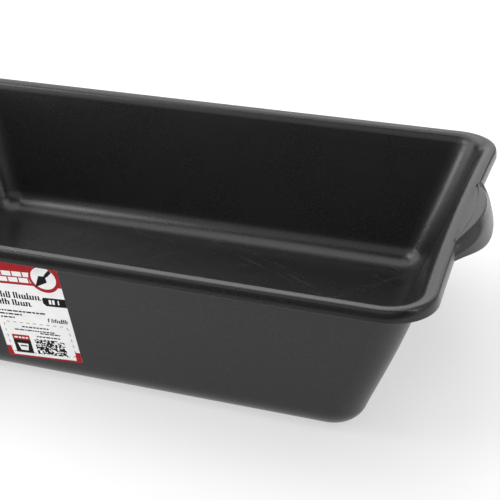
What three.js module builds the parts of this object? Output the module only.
// Mortar mixing tub: one moulded plastic tub with a down-turned rim and a grip lug at each
// short end, and a printed paper label on its front wall.
// Millimetres. X runs along the tub, Y across it (the label faces -Y), Z up from the base.
import * as THREE from 'three';

// ---- driving dimensions ----
const RIM_LENGTH = 576;
const RIM_WIDTH = 370;
const HEIGHT = 133;
const BASE_LENGTH = 457; // outer walls continued down to the base plane
const BASE_WIDTH = 297;
const WALL = 3;
const RIM_OVERHANG = 13; // from the inner wall's top to the rim's outer edge
const RIM_CORNER = 41; // plan radius of the rim's outer edge
const BASE_CORNER = 24; // plan radius of the outer wall at the base
const BASE_FILLET = 22; // between the base and the outer wall
const FLOOR_FILLET = BASE_FILLET - WALL;
const INNER_EDGE = 6; // rounding from the inner wall over to the rim's top
const OUTER_EDGE = 4; // rounding from the rim's top down to the lip
const LIP_DEPTH = 10.2;
const LIP_THICKNESS = 2.6;
const END_BOW = 3.9; // how far the rim's ends curve inward at mid width

// Grip lug: the rim widens into a rising thumb shelf, then turns down into a flared skirt.
const SHELF = { half: 62, reachShape: 1.3, climbShape: 1 }; // half length, outline exponents
const SKIRT = { half: 74, reachShape: 1, climbShape: 1.8 };
const SHELF_REACH = 12; // how far the shelf's crease stands beyond the rim's edge
const SHELF_RISE = 4.6; // and above the rim's top
const CREASE = 1.4; // rounding between shelf and skirt
const SKIRT_REACH = 19.3;
const SKIRT_DROP = 9.5; // how far the skirt hangs below the lip

// Label
const LABEL_WIDTH = 63;
const LABEL_HEIGHT = 100;
const LABEL_THICKNESS = 0.4;
const LABEL_GAP = 0.3;
const LABEL_TILT = THREE.MathUtils.degToRad(5.5);
const LABEL_CORNER_X = 7.3; // lower right corner, along the tub
const LABEL_CORNER_UP = 25.2; // and up the slope of the front wall

// ---- how finely the curves are divided ----
const FILLET_STEPS = 5;
const FILLET_SWEEP = 78; // degrees from the floor or base, where a fillet has met the side walls
const INNER_EDGE_STEPS = 3;
const INNER_EDGE_SWEEP = 66; // degrees, where the rim's inner rounding has met the wall
const CORNER_STEPS = 6;
const GRIP_STEPS = 16;
const BESIDE_GRIP = 0.74; // a place between a grip lug and the corner, of the straight end

// ---- walls ----
const OUTER_TOP = { x: wallTop(RIM_LENGTH), y: wallTop(RIM_WIDTH) };
const DRAFT = {
  x: Math.atan((OUTER_TOP.x - BASE_LENGTH / 2) / HEIGHT),
  y: Math.atan((OUTER_TOP.y - BASE_WIDTH / 2) / HEIGHT),
};

function wallTop(rimSize) {
  return rimSize / 2 - RIM_OVERHANG + WALL;
}

// How far a drafted wall stands outside its foot at a height above the floor, where a
// fillet of the given radius joins the two.
function filletedWall(height, radius, draft) {
  const tangentHeight = radius * (1 - Math.sin(draft));
  if (height >= tangentHeight) return height * Math.tan(draft);
  const setback = radius * Math.tan(Math.PI / 4 - draft / 2);
  return Math.sqrt(radius ** 2 - (radius - height) ** 2) - setback;
}

// One level of the tub: half sizes, plan corner radius and height of a rounded rectangle.
function level(halfX, halfY, corner, z) {
  return { halfX, halfY, corner, z };
}

function outerLevel(z) {
  const foot = { x: BASE_LENGTH / 2, y: BASE_WIDTH / 2 };
  const outX = filletedWall(z, BASE_FILLET, DRAFT.x);
  const outY = filletedWall(z, BASE_FILLET, DRAFT.y);
  const inset = z * Math.tan(DRAFT.y) - outY;
  return level(foot.x + outX, foot.y + outY, wallCorner(z) - inset, z);
}

function innerLevel(z) {
  const up = z - WALL;
  const footX = BASE_LENGTH / 2 + WALL * Math.tan(DRAFT.x) - WALL / Math.cos(DRAFT.x);
  const footY = BASE_WIDTH / 2 + WALL * Math.tan(DRAFT.y) - WALL / Math.cos(DRAFT.y);
  const outX = filletedWall(up, FLOOR_FILLET, DRAFT.x);
  const outY = filletedWall(up, FLOOR_FILLET, DRAFT.y);
  const inset = up * Math.tan(DRAFT.y) - outY;
  return level(footX + outX, footY + outY, wallCorner(z) - WALL - inset, z);
}

function wallCorner(z) {
  const topCorner = RIM_CORNER - RIM_OVERHANG + WALL;
  return THREE.MathUtils.lerp(BASE_CORNER, topCorner, z / HEIGHT);
}

// A level of the rim: how far outside the inner wall's top edge it lies, and its height
// above the rim's top.
function rimLevel(out, rise) {
  const inset = RIM_OVERHANG - out;
  return level(RIM_LENGTH / 2 - inset, RIM_WIDTH / 2 - inset, RIM_CORNER - inset, HEIGHT + rise);
}

// A rim line that spreads to another place of the section, [out, rise], in a grip lug.
function lugLevel(outline, [out, rise], [lugOut, lugRise]) {
  const ring = rimLevel(out, rise);
  ring.lug = { ...outline, reach: lugOut - out, climb: lugRise - rise };
  return ring;
}

function angles(from, to, steps) {
  const list = [];
  for (let i = 0; i <= steps; i++) list.push(THREE.MathUtils.degToRad(from + ((to - from) * i) / steps));
  return list;
}

// The rounding from the inner wall over to the rim's flat top.
function innerEdgeLevels() {
  const setback = INNER_EDGE * Math.tan(Math.PI / 4 - DRAFT.y / 2);
  return angles(INNER_EDGE_SWEEP, 0, INNER_EDGE_STEPS).map((a) => {
    return rimLevel(setback - INNER_EDGE * Math.sin(a), INNER_EDGE * (Math.cos(a) - 1));
  });
}

// The rim's outer edge, its lip and its underside, which become a lug's shelf and skirt.
function lipLevels() {
  const top = RIM_OVERHANG - OUTER_EDGE;
  const [early, late] = angles(30, 60, 1).map((a) => [
    top + OUTER_EDGE * Math.sin(a),
    OUTER_EDGE * (Math.cos(a) - 1),
  ]);
  const brow = [RIM_OVERHANG + SHELF_REACH - CREASE, SHELF_RISE];
  const crease = [RIM_OVERHANG + SHELF_REACH, SHELF_RISE - CREASE];
  const waist = [RIM_OVERHANG + (SHELF_REACH + SKIRT_REACH) / 2, (SHELF_RISE - LIP_DEPTH - SKIRT_DROP) / 2];
  const hem = [RIM_OVERHANG + SKIRT_REACH, -LIP_DEPTH - SKIRT_DROP];
  const middle = -(OUTER_EDGE + LIP_DEPTH) / 2;
  const inside = ([out, rise], down = 0) => [out - LIP_THICKNESS, rise - down];
  return [
    rimLevel(top, 0),
    lugLevel(SHELF, early, [RIM_OVERHANG, 0]),
    lugLevel(SHELF, late, brow),
    lugLevel(SHELF, [RIM_OVERHANG, -OUTER_EDGE], crease),
    lugLevel(SKIRT, [RIM_OVERHANG, middle], waist),
    lugLevel(SKIRT, [RIM_OVERHANG, -LIP_DEPTH], hem),
    lugLevel(SKIRT, inside([RIM_OVERHANG, -LIP_DEPTH]), inside(hem)),
    lugLevel(SKIRT, inside([RIM_OVERHANG, middle]), inside(waist)),
    lugLevel(SHELF, inside([RIM_OVERHANG, -OUTER_EDGE], CREASE), inside(crease, CREASE)),
    lugLevel(SHELF, inside(late, LIP_THICKNESS), inside(brow, LIP_THICKNESS)),
    rimLevel(2 * WALL, -WALL),
    outerLevel(HEIGHT - 2 * WALL),
  ];
}

// The wall's section, from the floor's edge up the inside, over the rim and down the outside.
function sectionLevels() {
  const floorEdge = angles(0, FILLET_SWEEP, FILLET_STEPS).map((a) => {
    return innerLevel(WALL + FLOOR_FILLET * (1 - Math.cos(a)));
  });
  const baseEdge = angles(FILLET_SWEEP, 0, FILLET_STEPS).map((a) => {
    return outerLevel(BASE_FILLET * (1 - Math.cos(a)));
  });
  return [...floorEdge, ...innerEdgeLevels(), ...lipLevels(), ...baseEdge];
}

// ---- places round the tub, anticlockwise from the middle of the +X end ----
// Each place is a point of a rounded rectangle: a corner's centre signs, the arc's angle,
// and how far along a straight side it lies (-1 to 1).
function perimeterPlaces() {
  const ends = endSteps();
  const places = [];
  const sides = [-1, -0.5, 0, 0.5, 1];
  for (const t of ends) places.push({ end: 1, along: t });
  addCorner(places, 1, 1, 0);
  for (const t of sides) places.push({ side: 1, along: -t });
  addCorner(places, -1, 1, 90);
  for (const t of ends) places.push({ end: -1, along: -t });
  addCorner(places, -1, -1, 180);
  for (const t of sides) places.push({ side: -1, along: t });
  addCorner(places, 1, -1, 270);
  return places;
}

// Steps along a short end, crowded towards the ends of the grip lug.
function endSteps() {
  const straight = RIM_WIDTH / 2 - RIM_CORNER;
  const steps = [];
  for (const a of angles(-90, 90, GRIP_STEPS)) steps.push((SKIRT.half * Math.sin(a)) / straight);
  return [-1, -BESIDE_GRIP, ...steps, BESIDE_GRIP, 1];
}

function addCorner(places, signX, signY, startAngle) {
  for (let i = 1; i < CORNER_STEPS; i++) {
    places.push({ signX, signY, angle: startAngle + (90 * i) / CORNER_STEPS });
  }
}

function pointAt(place, ring) {
  const straightX = ring.halfX - ring.corner;
  const straightY = ring.halfY - ring.corner;
  let x;
  let y;
  if (place.end) {
    x = place.end * ring.halfX;
    y = place.along * straightY;
  } else if (place.side) {
    x = place.along * straightX;
    y = place.side * ring.halfY;
  } else {
    const a = THREE.MathUtils.degToRad(place.angle);
    x = place.signX * straightX + ring.corner * Math.cos(a);
    y = place.signY * straightY + ring.corner * Math.sin(a);
  }
  const nearEnd = (Math.abs(x) / ring.halfX) ** 8;
  const bow = END_BOW * (ring.z / HEIGHT) * nearEnd * (1 - (y / ring.halfY) ** 2);
  x -= Math.sign(x) * bow;
  let z = ring.z;
  if (place.end && ring.lug) {
    const inside = Math.max(0, 1 - (y / ring.lug.half) ** 2);
    x += place.end * ring.lug.reach * inside ** ring.lug.reachShape;
    z += ring.lug.climb * inside ** ring.lug.climbShape;
  }
  return [x, y, z];
}

// Skins a stack of rings and closes both ends with a fan to a middle point.
function skinnedRings(rings, firstMiddle, lastMiddle) {
  const count = rings[0].length;
  const positions = [...rings.flat(2), ...firstMiddle, ...lastMiddle];
  const first = rings.length * count;
  const last = first + 1;
  const indices = [];
  for (let k = 0; k < count; k++) {
    const next = (k + 1) % count;
    indices.push(first, k, next);
    for (let i = 0; i + 1 < rings.length; i++) {
      const a = i * count + k;
      const b = i * count + next;
      indices.push(a, a + count, b, b, a + count, b + count);
    }
    const base = (rings.length - 1) * count;
    indices.push(last, base + next, base + k);
  }
  const geometry = new THREE.BufferGeometry();
  geometry.setAttribute('position', new THREE.Float32BufferAttribute(positions, 3));
  geometry.setIndex(indices);
  geometry.computeVertexNormals();
  return geometry;
}

function tubBody() {
  const places = perimeterPlaces();
  const rings = sectionLevels().map((ring) => places.map((place) => pointAt(place, ring)));
  const geometry = skinnedRings(rings, [0, 0, WALL], [0, 0, 0]);
  const plastic = new THREE.MeshStandardMaterial({ color: 0x2b2b2c, roughness: 0.42, metalness: 0 });
  const mesh = new THREE.Mesh(geometry, plastic);
  mesh.name = 'tub_body';
  return mesh;
}

// The label lies on the sloping front wall, turned a little out of square.
function frontLabel() {
  const geometry = new THREE.BoxGeometry(LABEL_WIDTH, LABEL_HEIGHT, LABEL_THICKNESS);
  const paper = new THREE.MeshStandardMaterial({ color: 0xf2f1ee, roughness: 0.55, metalness: 0 });
  const mesh = new THREE.Mesh(geometry, paper);
  mesh.name = 'front_label';
  mesh.rotation.z = LABEL_TILT;
  const middle = new THREE.Vector2(-LABEL_WIDTH / 2, LABEL_HEIGHT / 2);
  middle.rotateAround(new THREE.Vector2(0, 0), LABEL_TILT);
  mesh.position.set(LABEL_CORNER_X + middle.x, LABEL_CORNER_UP + middle.y, LABEL_GAP + LABEL_THICKNESS / 2);
  const wall = new THREE.Group();
  wall.position.y = -BASE_WIDTH / 2;
  wall.rotation.x = Math.PI / 2 + DRAFT.y;
  wall.add(mesh);
  return wall;
}

const tub = new THREE.Group();
tub.add(tubBody(), frontLabel());

export default tub;
